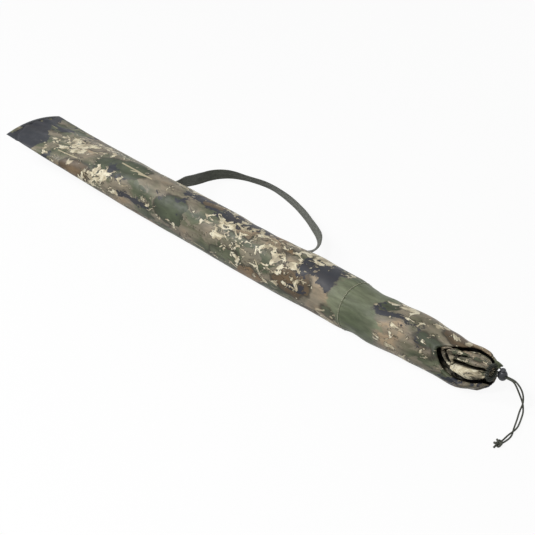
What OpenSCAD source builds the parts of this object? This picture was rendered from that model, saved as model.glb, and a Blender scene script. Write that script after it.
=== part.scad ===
// Slim fabric carry bag with a drawcord mouth and a webbing handle, lying on its underside.
// The origin is on the floor under the middle of the bag. +X runs to the mouth, +Y to the
// handle side and +Z up. Angles round the bag start at +Y and turn towards +Z. Millimetres.

/* [Bag] */
// Length from the closed end to the front of the gathered mouth
bag_len = 1222; // [1000:2:1600]
// Diameter of the sleeve
bag_d = 90; // [80:1:110]
// Thickness of a fabric wall
fabric_t = 1; // [0.8:0.1:1.4]
// Depth by which the underside settles flat on the floor
settle = 2.5; // [1.5:0.25:4]
// Gap between a sewn piece and the fabric that it lies on
sewn_gap = 0.3; // [0.2:0.05:0.5]

/* [Closed end] */
// Width of the flat end seam
end_w = 129; // [116:1:140]
// Height of the end seam's corners above the floor
end_z = 50.5; // [44:0.5:58]
// Rise of the end seam between its corners
end_arch = 9.5; // [0:0.5:14]
// Length over which the round sleeve runs out flat
end_taper = 360; // [240:5:360]
// Depth of the flat sewn lip
end_lip = 12; // [10:1:18]
// Depth of the binding folded over the lip
binding_w = 9; // [6:0.5:9.5]
// Thickness of the binding and of the seam tapes
tape_t = 0.8; // [0.6:0.1:1.2]
// Width of the seam tapes
tape_w = 10; // [8:1:14]

/* [Mouth] */
// Length of the collar panel, from its seam to the front of the mouth
collar_len = 286; // [260:2:400]
// Diameter of the slack collar past its seam
neck_d = 84; // [80:1:90]
// Diameter of the collar behind the lips
throat_d = 76; // [70:1:80]
// Drift of the mouth towards the handle side
mouth_side = 20; // [0:1:24]
// Lift of the mouth off the floor
mouth_lift = 5; // [0:1:8]
// Length over which the collar rounds in to the mouth
shoulder = 66; // [40:2:80]
// Share of the collar's width that is left at the mouth
mouth_share = 0.72; // [0.64:0.02:0.8]
// How far behind the mouth the lips meet in a corner
lip_corner = 91; // [76:1:110]
// How far behind the mouth the lips lie elsewhere
lip_back = 15; // [13:1:24]
// Angle round the bag of the corner of the lips
lip_turn = 135; // [110:5:180]
// Angle from the corner over which the lips run forward
lip_span = 80; // [60:5:100]
// Bow of the upper lip, 1 for straight
upper_bow = 1; // [1:0.1:2]
// Bow of the lower lip, 1 for straight
lower_bow = 1.7; // [1:0.1:2]
// Depth of the fold behind the lips
fold_depth = 11; // [8:1:14]
// Number of pleats in the gathered cap
pleats = 11; // [8:1:14]
// Height of a pleat
pleat_h = 3.5; // [2:0.5:5]
// Offset of the gathered hole from the collar's middle, towards the handle side
gather_side = 0; // [0:1:6]
// Offset of the gathered hole above the collar's middle
gather_rise = 11; // [6:1:14]
// Mean radius of the drawn-up drawcord casing
casing_r = 11; // [10:0.5:13]
// Outside diameter of the casing
casing_d = 6; // [5.6:0.1:7]

/* [Drawcord] */
// Diameter of the cord
cord_d = 3; // [2.4:0.1:3.2]
// Play of the cord in its casing and in the cord lock
cord_play = 0.35; // [0.25:0.05:0.5]
// Angle round the casing where the cord comes out
exit_turn = -20; // [-40:5:10]

/* [Cord lock] */
// Diameter of the ball-shaped barrel
lock_d = 16; // [15:0.5:20]
// Height of the barrel's full oval
lock_h = 19; // [18:0.5:22]
// Gap between the casing and the cord lock
lock_gap = 3; // [2:0.5:5]
// Diameter of the plunger
plunger_d = 9.4; // [9:0.1:10]
// Running clearance of the plunger
plunger_fit = 0.2; // [0.15:0.05:0.3]
// Travel of the plunger
plunger_travel = 2.3; // [1.6:0.1:2.4]
// Wall of the plunger below the cord slot
plunger_floor = 1.1; // [0.9:0.1:1.4]
// Height of the button above the barrel
button_h = 3; // [2.6:0.2:5]
// Wire diameter of the spring
spring_wire = 0.5; // [0.4:0.05:0.55]
// Mean diameter of the spring
spring_d = 6.5; // [5.5:0.1:7.5]
// Turns of the spring
spring_turns = 2; // [1:1:2]

/* [Handle] */
// Width of the webbing
strap_w = 25; // [20:1:30]
// Thickness of the webbing
strap_t = 1.8; // [1.4:0.1:2.2]
// Distance between the two sewn roots
handle_pitch = 368; // [300:2:420]
// Distance from the closed end to the handle's rear root
handle_from = 378; // [300:2:460]
// Reach of the handle behind the bag
handle_reach = 183; // [150:1:220]
// Angle of the roots above the bag's middle line
root_turn = 6; // [0:1:12]
// Length of the sewn tab below each root
tab_len = 30; // [22:1:40]

/* [Hidden] */

camo_green = "#6e7059";
camo_tan = "#8a7f66";
webbing_green = "#4a4d3e";
tape_black = "#2b2c29";
cord_green = "#45483d";
lock_black = "#26262a";
steel = "#b9bcc0";

// Sides of a lofted ring, a multiple of four
round_sides = 40;
// Points across one pleat
pleat_points = 4;
cord_sides = 8;
// Margin of a cut past the face that it opens
cut = 1;

// Places along the bag
bag_r = bag_d / 2;
neck_r = neck_d / 2;
throat_r = throat_d / 2;
end_x = -bag_len / 2;
mouth_x = bag_len / 2;
collar_x = mouth_x - collar_len;
bag_mid_z = bag_r - settle;
throat_mid_z = throat_r - settle;
taper_x = end_x + end_taper;

// Middle of the gathered hole
casing_x = mouth_x - casing_d / 2;
gather_y = mouth_side + gather_side;
gather_z = throat_mid_z + gather_rise;

// Where the two strands of the drawcord leave the casing, and the cord lock behind it
exit_y = gather_y + casing_r * cos(exit_turn);
exit_z = gather_z + casing_r * sin(exit_turn);
strand_gap = 0.5;
strand_y = (cord_d + strand_gap) / 2;
lock_x = mouth_x + lock_gap + lock_d / 2;

// Cord slot through the cord lock, and the flats cut from its oval
barrel_top_cut = 1.5;
barrel_foot_cut = 0.7;
slot_half_w = strand_y + cord_d / 2 + cord_play;
slot_half_h = cord_d / 2 + cord_play;
barrel_top = lock_h / 2 - barrel_top_cut;
barrel_bottom = barrel_foot_cut - lock_h / 2;
plunger_bottom = -slot_half_h - plunger_floor;
// Room for the closed spring, in turns beyond its own, and the gap at its two ends
spring_spare = 0.6;
spring_gap = 0.05;
bore_bottom = plunger_bottom - plunger_travel - (spring_turns + spring_spare) * spring_wire;

// Hinge line of the handle
root_r = bag_r + sewn_gap + strap_t / 2;
hinge_y = root_r * cos(root_turn);
hinge_z = bag_mid_z + root_r * sin(root_turn);
rear_root_x = end_x + handle_from;

// Shape of the handle as shares: along the pitch, of the reach, of the drop to the floor,
// and the turn of the webbing from lying flat (0) over standing on edge (90) to flat again (180)
HANDLE_SHAPE = [
    [0, 0, 0, 0], [0, 0.05, 0.03, 4], [0.005, 0.18, 0.26, 40], [-0.025, 0.36, 0.62, 78],
    [-0.055, 0.55, 0.93, 86], [-0.055, 0.68, 1, 84], [-0.03, 0.79, 1, 76], [0.02, 0.885, 1, 66],
    [0.11, 0.955, 1, 56], [0.25, 1, 1, 62], [0.435, 0.945, 1, 76], [0.6, 0.84, 1, 86],
    [0.72, 0.73, 0.98, 92], [0.8, 0.645, 0.93, 98], [0.875, 0.53, 0.78, 110], [0.927, 0.4, 0.64, 126],
    [0.965, 0.27, 0.4, 146], [0.995, 0.14, 0.1, 168], [1, 0.05, 0, 180], [1, 0, 0, 180]
];
strap_steps = 4;

// Route of the drawcord's two strands from where they leave the casing: along the bag, across it,
// height as a share of the exit's height, half the gap between the strands, turn about each other
TAIL_ROUTE = [
    [-2, 0, 1, 1.75, 0], [10, 0, 1, 1.75, 0], [22, 0, 1, 1.75, 0], [34, 0, 1, 1.8, 0],
    [43, -0.5, 0.88, 2.4, 15], [51, -1, 0.64, 2.7, 65], [56, -2, 0.34, 2.8, 125],
    [59, -6, 0.1, 3, 180], [64, -15, 0, 3, 218], [72, -29, 0, 2.8, 235], [81, -46, 0, 3, 268],
    [87.5, -62, 0, 3.4, 325], [90, -77, 0, 2.6, 385], [91, -90, 0, 1.75, 415]
];
tail_steps = 2;
// Middle of the knot, measured like the route
KNOT_AT = [91.4, -98.4];
knot_size = 2.1;
// Diameter of the doubled cord in the knot
knot_d = 3.6;
knot_turn = 60;
knot_rings = 40;
// Cut ends of the knot: the turns that they point in, where they start and their length
KNOT_END_TURNS = [140, 275];
knot_end_start = 4.6;
knot_end_len = 7;

// Plain helpers
function mix(a, b, t) = a + (b - a) * t;
function clamp01(t) = min(max(t, 0), 1);
function ease(t) = let(u = clamp01(t)) u * u * (3 - 2 * u);
function unit(v) = v / norm(v);
function square_to(v, t) = unit(v - (v * t) * t);

// Smooth curve through hand-placed points, for points of any size
function curve_point(p, i, t) =
    let(a = p[max(i - 1, 0)], b = p[i], c = p[i + 1], d = p[min(i + 2, len(p) - 1)])
    b + (c - a) * t / 2 + (2 * a - 5 * b + 4 * c - d) * t * t / 2
    + (3 * b - a - 3 * c + d) * t * t * t / 2;
function curve(p, steps) = [
    for (i = [0 : len(p) - 2]) for (s = [0 : steps - 1]) curve_point(p, i, s / steps),
    p[len(p) - 1]
];
function place(p) = [p[0], p[1], p[2]];
function tangents(path) = [
    for (i = [0 : len(path) - 1])
        unit(place(path[min(i + 1, len(path) - 1)]) - place(path[max(i - 1, 0)]))
];
// Side directions carried along a path without twisting
function carried(t, first) = [
    for (i = 0, u = square_to(first, t[0]); i < len(t);
        i = i + 1, u = i < len(t) ? square_to(u, t[i]) : u) u
];

// Closed surface over a row of rings: capped at both ends, or joined end to start
module skin(rings, joined = false) {
    n = len(rings[0]);
    m = len(rings);
    last = (m - 1) * n;
    walls = [
        for (j = [0 : joined ? m - 1 : m - 2]) for (i = [0 : n - 1])
            let(a = j * n + i, b = j * n + (i + 1) % n,
                c = ((j + 1) % m) * n + (i + 1) % n, d = ((j + 1) % m) * n + i)
            each [[a, c, b], [a, d, c]]
    ];
    cap = [
        for (i = [0 : n / 2 - 2]) [i, i + 1, n - i - 1],
        for (i = [1 : n / 2 - 1]) [i, n - i - 1, n - i]
    ];
    caps = joined ? [] : [for (f = cap) each [f, [last + f[0], last + f[2], last + f[1]]]];
    polyhedron(points = [for (r = rings) each r], faces = concat(walls, caps), convexity = 12);
}

// Rings of a round tube along a path, wound from its side directions
function tube_rings(path, t, side, r, sides) = [
    for (i = [0 : len(path) - 1]) [
        for (k = [0 : sides - 1])
            let(a = 360 * (k + 0.5) / sides)
            place(path[i]) + r * (cos(a) * side[i] + sin(a) * cross(t[i], side[i]))
    ]
];

// Section of the sleeve: an oval that turns into a flat arched lens with sharp sides as lens goes to 1
function sleeve_ring(x, half_w, half_h, mid_z, lens, floor_z) = [
    for (k = [0 : round_sides - 1])
        let(a = 360 * k / round_sides, s = sin(a), height = half_h * mix(s, s * abs(s), lens))
        [x, half_w * cos(a), max(floor_z, mid_z + height + lens * end_arch * s * s)]
];

// Share of the flattening at a place along the closed end: 0 where round, 1 at the lip. The powers
// say how late the section thins, rises to the seam and sharpens into a fold on the way
end_fullness = 1.1;
end_rise = 1.7;
end_fold = 12;
function flat_share(x) = clamp01((taper_x - x) / (end_taper - end_lip));
function sleeve_half_h(x) = mix(bag_r, fabric_t, pow(flat_share(x), end_fullness));
function sleeve_station(x, inset) =
    let(f = flat_share(x))
    sleeve_ring(x, mix(bag_r, end_w / 2, sin(90 * f)) - inset, sleeve_half_h(x) - inset,
        mix(bag_mid_z, end_z, pow(f, end_rise)), pow(f, end_fold), inset);

// Stations of the closed end, which crowd towards the lip, and of the straight sleeve
sleeve_stations = 16;
station_crowd = 1.6;
straight_stations = 4;
lip_x = end_x + end_lip;
taper_places = [
    for (i = [0 : sleeve_stations]) mix(lip_x, taper_x, pow(i / sleeve_stations, station_crowd))
];
straight_places = [for (i = [1 : straight_stations]) mix(taper_x, collar_x, i / straight_stations)];
outer_places = concat([end_x], taper_places, straight_places);
// The inside stops short of the sewn lip
inner_places = [for (x = outer_places) if (x > lip_x && sleeve_half_h(x) > 2 * fabric_t) x];

module main_panel() {
    color(camo_green)
        skin(concat(
            [for (x = outer_places) sleeve_station(x, 0)],
            [for (i = [len(inner_places) - 1 : -1 : 0]) sleeve_station(inner_places[i], fabric_t)]
        ));
}

// Binding folded over the raw edge of the end lip
function binding_ring(x, out) = sleeve_ring(x, end_w / 2 + out, fabric_t + out, end_z, 1, 0);
module end_binding() {
    inner = sewn_gap;
    outer = sewn_gap + tape_t;
    open_x = end_x + binding_w;
    color(tape_black)
        skin([
            binding_ring(end_x - outer, outer), binding_ring(open_x, outer),
            binding_ring(open_x, inner), binding_ring(end_x - inner, inner)
        ]);
}

// Tape over the long seam, inside along the handle side
module long_seam_tape() {
    tape_r = bag_r - fabric_t - sewn_gap;
    run = collar_x - taper_x - 2 * tape_w;
    color(tape_black)
        translate([taper_x, 0, bag_mid_z]) rotate([90, 0, 90])
        linear_extrude(run)
        intersection() {
            difference() {
                circle(tape_r, $fn = 96);
                circle(tape_r - tape_t, $fn = 96);
            }
            translate([0, -tape_w / 2]) square([bag_r, tape_w]);
        }
}

// Tape over the collar seam, a ring inside the sleeve
module collar_seam_tape() {
    outer = fabric_t + sewn_gap;
    inner = outer + tape_t;
    from_x = collar_x - tape_w - cut;
    to_x = collar_x - cut;
    color(tape_black)
        skin([
            sleeve_station(from_x, outer), sleeve_station(to_x, outer),
            sleeve_station(to_x, inner), sleeve_station(from_x, inner)
        ], joined = true);
}

// Collar: a slack tube, lips that fold in, and a pleated cap that runs to the gathered hole
collar_sides = pleats * pleat_points;
neck_run = 60;
lip_lead = 50;
neck_end_x = collar_x + neck_run;
throat_x = mouth_x - lip_corner;
lip_start_x = throat_x - lip_lead;
throat_from_x = (neck_end_x + lip_start_x) / 2;
function tube_r(x) = mix(
    mix(bag_r, neck_r, ease((x - collar_x) / neck_run)),
    throat_r,
    ease((x - throat_from_x) / (throat_x - throat_from_x)));
function shoulder_way(x) = let(u = clamp01((x - mouth_x + shoulder) / shoulder)) u * u;
function shoulder_share(x) = sqrt(1 - (1 - mouth_share * mouth_share) * shoulder_way(x));
function collar_y(x) = mouth_side * (x - collar_x) / (mouth_x - collar_x);
function collar_point(x, a, inset) =
    let(r = tube_r(x) * shoulder_share(x) - inset)
    [x, collar_y(x) + r * cos(a), tube_r(x) - settle + mouth_lift * shoulder_way(x) + r * sin(a)];
// Angle from the corner of the lips, from -180 on the upper lip to 180 on the lower one
function from_corner(a) = let(d = (a - lip_turn + 540) % 360 - 180) d;
function lip_share(d) = pow(clamp01(abs(d) / lip_span), d < 0 ? upper_bow : lower_bow);
function lip_at(a) = mouth_x - mix(lip_corner, lip_back, lip_share(from_corner(a)));
function gather_point(a, r, x) = [x, gather_y + r * cos(a), gather_z + r * sin(a)];

// Section of the rolled lips, point by point: distance ahead of the lip's edge, inset from the collar,
// and the way to the wall's inner face as shares of the wall, along the bag and inwards
lip_roll = 3;
LIPS = [
    [-lip_roll, 0, -0.2, 1], [0, 1.5, -0.9, 0.6], [0.4, 3.6, -0.9, -0.4],
    [-lip_roll, 5.2, 0.2, -1], [-8, 6, 0.3, -1]
];
function lip_point(a, s, face) = collar_point(
    lip_at(a) + s[0] + face * s[2] * fabric_t, a, s[1] + face * s[3] * fabric_t);
// Cap from the bottom of the fold to the back of the casing: places along it, the inset of its fold,
// where the pleats run out, and its wall measured along the bag
cap_shares = [0, 0.2, 0.45, 0.7, 0.88];
fold_inset = 11;
pleat_end = 0.9;
cap_wall = 1.2 * fabric_t;
cap_overlap = 1.5;
cap_end_r = casing_r - cap_overlap;
cap_end_x = casing_x - casing_d / 2 - sewn_gap;
function cap_point(a, g, face) =
    let(fold = collar_point(lip_at(a) - fold_depth, a, fold_inset),
        hole = gather_point(a, cap_end_r, cap_end_x),
        pleat = pleat_h * sin(180 * min(g / pleat_end, 1)) * cos(pleats * a),
        p = mix(fold, hole, g))
    [p[0] + pleat - face * cap_wall, p[1], p[2]];

function lie(p, floor_z) = [p[0], p[1], max(floor_z, p[2])];
collar_places = [collar_x, collar_x + neck_run / 2, neck_end_x, throat_from_x, lip_start_x];
throat_shares = [0.35, 0.7];
collar_turns = [for (k = [0 : collar_sides - 1]) 360 * k / collar_sides];
function collar_face(face) =
    let(inset = face * fabric_t)
    concat(
        [for (x = collar_places) [for (a = collar_turns) lie(collar_point(x, a, inset), inset)]],
        [for (f = throat_shares) [for (a = collar_turns)
            lie(collar_point(mix(lip_start_x, lip_at(a) - lip_roll, f), a, inset), inset)]],
        [for (s = LIPS) [for (a = collar_turns) lie(lip_point(a, s, face), inset)]],
        [for (g = cap_shares) [for (a = collar_turns) cap_point(a, g, face)]],
        [[for (a = collar_turns) gather_point(a, cap_end_r, cap_end_x - face * fabric_t)]]
    );

module mouth_collar() {
    outer = collar_face(0);
    inner = collar_face(1);
    color(camo_tan)
        skin(concat(outer, [for (i = [len(inner) - 1 : -1 : 0]) inner[i]]), joined = true);
}

// Casing: the rolled tunnel at the edge of the mouth, open in front where the cord comes out
module drawcord_casing() {
    tunnel_d = cord_d + 2 * cord_play;
    color(camo_green)
        difference() {
            translate([casing_x, gather_y, gather_z]) rotate([0, 90, 0])
                rotate_extrude($fn = 96) translate([casing_r, 0])
                difference() {
                    circle(d = casing_d, $fn = 32);
                    circle(d = tunnel_d, $fn = 32);
                }
            translate([casing_x, exit_y, exit_z]) cord_slot(casing_d);
        }
}

// Slot for two strands side by side, running along the bag
module cord_slot(run) {
    rotate([90, 0, 90])
        linear_extrude(run)
        union() {
            for (s = [-1, 1])
                translate([s * (slot_half_w - slot_half_h), 0]) circle(slot_half_h, $fn = 32);
            translate([-(slot_half_w - slot_half_h), -slot_half_h])
                square([2 * (slot_half_w - slot_half_h), 2 * slot_half_h]);
        }
}

// Drawcord inside the casing, a ring left open at the exit
module drawcord_loop() {
    open_angle = 2 * asin((slot_half_w + cut) / casing_r);
    color(cord_green)
        translate([casing_x, gather_y, gather_z]) rotate([90, 0, 90])
        rotate([0, 0, exit_turn + open_angle / 2])
        rotate_extrude(angle = 360 - open_angle, $fn = 96)
        translate([casing_r, 0]) circle(d = cord_d, $fn = 24);
}

// One strand of the drawcord from the casing to the knot: way 1 or -1
tail_points = [
    for (p = TAIL_ROUTE)
        [mouth_x + p[0], exit_y + p[1], mix(cord_d / 2, exit_z, p[2]), p[3], p[4]]
];
function strand_path(way) =
    let(line = curve(tail_points, tail_steps), t = tangents(line), u = carried(t, [0, 1, 0]))
    [
        for (i = [0 : len(line) - 1])
            let(turn = line[i][4], offset = cos(turn) * u[i] + sin(turn) * cross(t[i], u[i]),
                p = place(line[i]) + way * line[i][3] * offset)
            [p[0], p[1], max(cord_d / 2, p[2])]
    ];

module drawcord_tail(way) {
    path = strand_path(way);
    t = tangents(path);
    color(cord_green) skin(tube_rings(path, t, carried(t, [0, 1, 0]), cord_d / 2, cord_sides));
}

module drawcord_tail_back() {
    drawcord_tail(1);
}

module drawcord_tail_front() {
    drawcord_tail(-1);
}

// Overhand knot lying flat on the floor, with two cut ends
function knot_point(a) = knot_size * [sin(a) + 2 * sin(2 * a), cos(a) - 2 * cos(2 * a), -sin(3 * a)];
module drawcord_knot() {
    path = [for (i = [0 : knot_rings - 1]) knot_point(360 * i / knot_rings)];
    t = [for (i = [0 : knot_rings - 1])
        unit(knot_point(360 * (i + 1) / knot_rings) - knot_point(360 * (i - 1) / knot_rings))];
    u = [for (v = t) unit(cross(v, [0, 0, 1]))];
    color(cord_green)
        translate([mouth_x + KNOT_AT[0], exit_y + KNOT_AT[1], knot_size + knot_d / 2])
        union() {
            rotate([0, 0, knot_turn])
                skin(tube_rings(path, t, u, knot_d / 2, cord_sides), joined = true);
            for (turn = KNOT_END_TURNS) rotate([0, 0, turn]) translate([knot_end_start, 0, 0])
                rotate([0, 90, 0]) cylinder(h = knot_end_len, d = cord_d, $fn = 24);
        }
}

// Cord lock: oval barrel, sprung plunger with a button, cords through both
module lock_place() {
    translate([lock_x, exit_y, exit_z]) children();
}

module cord_lock_barrel() {
    oval = [for (a = [-90 : 6 : 90]) [cos(a) * lock_d / 2, sin(a) * lock_h / 2]];
    color(lock_black)
        lock_place()
        difference() {
            rotate_extrude($fn = 96)
                intersection() {
                    polygon(oval);
                    translate([0, barrel_bottom]) square([lock_d, barrel_top - barrel_bottom]);
                }
            translate([0, 0, bore_bottom])
                cylinder(h = lock_h, d = plunger_d + 2 * plunger_fit, $fn = 64);
            translate([-lock_d, 0, 0]) cord_slot(2 * lock_d);
        }
}

module cord_lock_plunger() {
    edge = 1;
    top = barrel_top + button_h;
    color(lock_black)
        lock_place()
        difference() {
            rotate_extrude($fn = 64)
                polygon(concat(
                    [[0, plunger_bottom], [plunger_d / 2, plunger_bottom]],
                    [for (a = [0 : 30 : 90])
                        [plunger_d / 2 - edge + edge * cos(a), top - edge + edge * sin(a)]],
                    [[0, top]]
                ));
            translate([-plunger_d, 0, 0]) cord_slot(2 * plunger_d);
            translate([-plunger_d, 0, plunger_travel]) cord_slot(2 * plunger_d);
            translate([-plunger_d, -slot_half_w, 0])
                cube([2 * plunger_d, 2 * slot_half_w, plunger_travel]);
        }
}

module cord_lock_spring() {
    rings_per_turn = 16;
    low = bore_bottom + spring_wire / 2 + spring_gap;
    high = plunger_bottom - spring_wire / 2 - spring_gap;
    count = spring_turns * rings_per_turn;
    path = [
        for (i = [0 : count])
            let(a = 360 * i / rings_per_turn)
            [cos(a) * spring_d / 2, sin(a) * spring_d / 2, mix(low, high, i / count)]
    ];
    t = tangents(path);
    color(steel) lock_place() skin(tube_rings(path, t, carried(t, [1, 0, 0]), spring_wire / 2, 6));
}

// Handle: webbing that leaves the seam flat, turns on edge and lies on the floor behind the bag
function strap_point(p) =
    let(rest = strap_w / 2 * abs(sin(p[3])) + strap_t / 2 * abs(cos(p[3])))
    [rear_root_x + p[0] * handle_pitch, hinge_y + p[1] * handle_reach, mix(hinge_z, rest, p[2]), p[3]];

module handle_strap() {
    line = [for (p = curve(HANDLE_SHAPE, strap_steps)) strap_point(p)];
    t = tangents(line);
    rings = [
        for (i = [0 : len(line) - 1])
            let(flat = unit(cross(t[i], [0, 0, 1])), edge = cross(flat, t[i]), turn = line[i][3],
                w = cos(turn) * flat + sin(turn) * edge, n = cross(t[i], w), c = place(line[i]))
            [
                for (q = [[1, 1], [-1, 1], [-1, -1], [1, -1]])
                    c + q[0] * strap_w / 2 * w + q[1] * strap_t / 2 * n
            ]
    ];
    color(webbing_green)
        union() {
            skin(rings);
            for (x = [rear_root_x, rear_root_x + handle_pitch])
                translate([x - strap_w / 2, hinge_y, hinge_z]) rotate([0, 90, 0])
                    cylinder(h = strap_w, d = strap_t, $fn = 24);
        }
}

// Sewn end of the webbing, flat on the back of the bag below its root
module handle_tab(x) {
    tab_r = bag_r + sewn_gap;
    tab_angle = tab_len / tab_r * 180 / PI;
    clear_angle = (strap_t / 2 + sewn_gap) / tab_r * 180 / PI;
    color(webbing_green)
        translate([x - strap_w / 2, 0, bag_mid_z]) rotate([90, 0, 90])
        rotate([0, 0, root_turn - clear_angle - tab_angle])
        rotate_extrude(angle = tab_angle, $fn = 96)
        translate([tab_r, 0]) square([strap_t, strap_w]);
}

module handle_tab_rear() {
    handle_tab(rear_root_x);
}

module handle_tab_front() {
    handle_tab(rear_root_x + handle_pitch);
}

main_panel();
end_binding();
long_seam_tape();
collar_seam_tape();
mouth_collar();
drawcord_casing();
drawcord_loop();
drawcord_tail_back();
drawcord_tail_front();
drawcord_knot();
cord_lock_barrel();
cord_lock_plunger();
cord_lock_spring();
handle_strap();
handle_tab_rear();
handle_tab_front();
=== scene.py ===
"""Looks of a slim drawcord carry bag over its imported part: cloth, webbing, cord and thread.

Lengths are millimetres and angles round the bag are degrees from +Y towards +Z. The mesh
helpers turn lengths into the metres of the frame. Seams of the print lie on the handle side.
"""
import math

import bpy
from mathutils import Matrix, Vector, noise


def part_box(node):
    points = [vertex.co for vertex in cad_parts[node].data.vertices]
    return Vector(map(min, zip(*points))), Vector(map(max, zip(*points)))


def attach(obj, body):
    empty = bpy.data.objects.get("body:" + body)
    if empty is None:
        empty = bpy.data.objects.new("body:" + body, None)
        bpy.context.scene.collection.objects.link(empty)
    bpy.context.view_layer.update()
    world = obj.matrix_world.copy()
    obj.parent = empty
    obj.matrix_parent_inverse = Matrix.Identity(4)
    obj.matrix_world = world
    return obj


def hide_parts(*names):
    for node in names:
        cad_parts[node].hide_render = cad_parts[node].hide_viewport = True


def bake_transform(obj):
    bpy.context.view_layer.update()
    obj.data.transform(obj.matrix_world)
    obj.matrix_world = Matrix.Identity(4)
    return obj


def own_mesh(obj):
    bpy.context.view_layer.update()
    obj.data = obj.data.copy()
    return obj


MM = 0.001
X_AXIS = Vector((1, 0, 0))
Y_AXIS = Vector((0, 1, 0))
Z_AXIS = Vector((0, 0, 1))

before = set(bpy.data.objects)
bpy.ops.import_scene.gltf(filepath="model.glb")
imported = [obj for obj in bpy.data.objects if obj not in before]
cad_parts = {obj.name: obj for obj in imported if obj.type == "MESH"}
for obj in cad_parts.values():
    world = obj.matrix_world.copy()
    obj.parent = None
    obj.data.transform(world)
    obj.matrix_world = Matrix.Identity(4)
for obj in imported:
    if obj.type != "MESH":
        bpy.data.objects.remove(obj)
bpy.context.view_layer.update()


# Plain helpers
def mix(a, b, t):
    return a + (b - a) * t


def clamp01(t):
    return min(max(t, 0), 1)


def ease(t):
    u = clamp01(t)
    return u * u * (3 - 2 * u)


def cos_deg(a):
    return math.cos(math.radians(a))


def sin_deg(a):
    return math.sin(math.radians(a))


def hill(t, middle, half):
    """1 at the middle, falling smoothly to 0 at half on either side."""
    return 1 - ease(abs(t - middle) / half)


def stretch(t, start, end, fade):
    """1 between start and end, fading to 0 outside them."""
    return ease((t - start + fade) / fade) * ease((end + fade - t) / fade)


def bell(t, middle, width):
    """1 at the middle, fading on both sides."""
    return math.exp(-((t - middle) / width) ** 2)


def turn_between(a, b):
    """Signed angle from b to a, from -180 to 180."""
    return (a - b + 540) % 360 - 180


def wobble(*place):
    return noise.noise(Vector(place))


def shares(count):
    """Even shares from 0 to 1."""
    return [i / count for i in range(count + 1)]


def turns_round(count, first=0):
    """Even turns once round."""
    return [first + 360 * i / count for i in range(count)]


def ring_point(x, y, z, r, a):
    """A place on a ring round y and z."""
    return Vector((x, y + r * cos_deg(a), z + r * sin_deg(a)))


def node_box(name):
    low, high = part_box(name)
    return low / MM, high / MM


# Places read from the frame
panel_low, panel_high = node_box("main_panel")
casing_low, casing_high = node_box("drawcord_casing")
rear_tab_low, rear_tab_high = node_box("handle_tab_rear")
front_tab_low, front_tab_high = node_box("handle_tab_front")

FLOOR_GAP = 0.02
SETTLE = 2.5
CLOTH_T = 0.6
BAG_R = (panel_high.z + SETTLE) / 2
BAG_MID_Z = BAG_R - SETTLE
END_X = panel_low.x
COLLAR_X = panel_high.x
END_W = panel_high.y - panel_low.y
MOUTH_X = casing_high.x
CASING_D = casing_high.x - casing_low.x
CASING_X = MOUTH_X - CASING_D / 2
CASING_R = (casing_high.z - casing_low.z - CASING_D) / 2
GATHER_Y = (casing_low.y + casing_high.y) / 2
GATHER_Z = (casing_low.z + casing_high.z) / 2

# Closed end
END_Z = 50.5
END_ARCH = 9.5
END_TAPER = 360
END_LIP = 12
END_FULLNESS = 1.1
END_RISE = 1.7
END_FOLD = 12
END_EDGE_T = 1
TAPER_X = END_X + END_TAPER
LIP_X = END_X + END_LIP

# Collar
NECK_R = 42
NECK_RUN = 60
THROAT_R = 38
LIP_CORNER = 91
LIP_LEAD = 50
LIP_BACK = 15
# Edge of the lips round the mouth: turn about the bag, distance back from the mouth
LIP_EDGE = [
    [34, LIP_BACK], [44, 21], [52, 33], [62, 41], [78, 47], [96, 55], [104, 63], [113, 72], [124, 82],
    [135, LIP_CORNER], [151, 86], [163, 79], [176, 70.5], [185, 60], [192, 50], [202, 38], [210, 27],
    [219, 18], [228, LIP_BACK],
]
SHOULDER = 66
MOUTH_SHARE = 0.72
MOUTH_LIFT = 5
LIP_T = 5
CAP_EDGE = 14
CAP_END_INSET = 1.5
CAP_END_R = CASING_R - CAP_END_INSET
SEWN_GAP = 0.3
CAP_END_X = MOUTH_X - CASING_D - SEWN_GAP

# Cord
CORD_D = 3
EXIT_TURN = -20
EXIT_Y = GATHER_Y + CASING_R * cos_deg(EXIT_TURN)
EXIT_Z = GATHER_Z + CASING_R * sin_deg(EXIT_TURN)

# Webbing
STRAP_W = 25
STRAP_T = 1.8
ROOT_TURN = 6
ROOT_R = BAG_R + SEWN_GAP + STRAP_T / 2
HINGE_Y = ROOT_R * cos_deg(ROOT_TURN)
HINGE_Z = BAG_MID_Z + ROOT_R * sin_deg(ROOT_TURN)
REAR_ROOT_X = (rear_tab_low.x + rear_tab_high.x) / 2
FRONT_ROOT_X = (front_tab_low.x + front_tab_high.x) / 2
HANDLE_REACH = 183


# Mesh helpers
def new_object(name, data):
    made = bpy.data.objects.new(name, data)
    bpy.context.scene.collection.objects.link(made)
    return made


def mesh_piece(name, points, faces, uv_of_point=None):
    """A mesh object from points in millimetres. uv_of_point is in metres of cloth."""
    mesh = bpy.data.meshes.new(name)
    mesh.from_pydata([Vector(p) * MM for p in points], [], faces)
    if uv_of_point:
        layer = mesh.uv_layers.new(name="cloth")
        for loop in mesh.loops:
            layer.data[loop.index].uv = uv_of_point[loop.vertex_index]
    for face in mesh.polygons:
        face.use_smooth = True
    mesh.validate()
    return new_object(name, mesh)


def grid_lengths(rows, datum=0):
    """Metres of cloth at each point: along the rows, and across each row from its datum column."""
    along = [0.0] * len(rows[0])
    uv = []
    for row, before in zip(rows, rows[:1] + rows):
        along = [u + (p - q).length * MM for u, p, q in zip(along, row, before)]
        across = [0.0]
        for p, q in zip(row, row[1:]):
            across.append(across[-1] + (q - p).length * MM)
        uv.extend(zip(along, [v - across[datum] for v in across]))
    return uv


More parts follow.
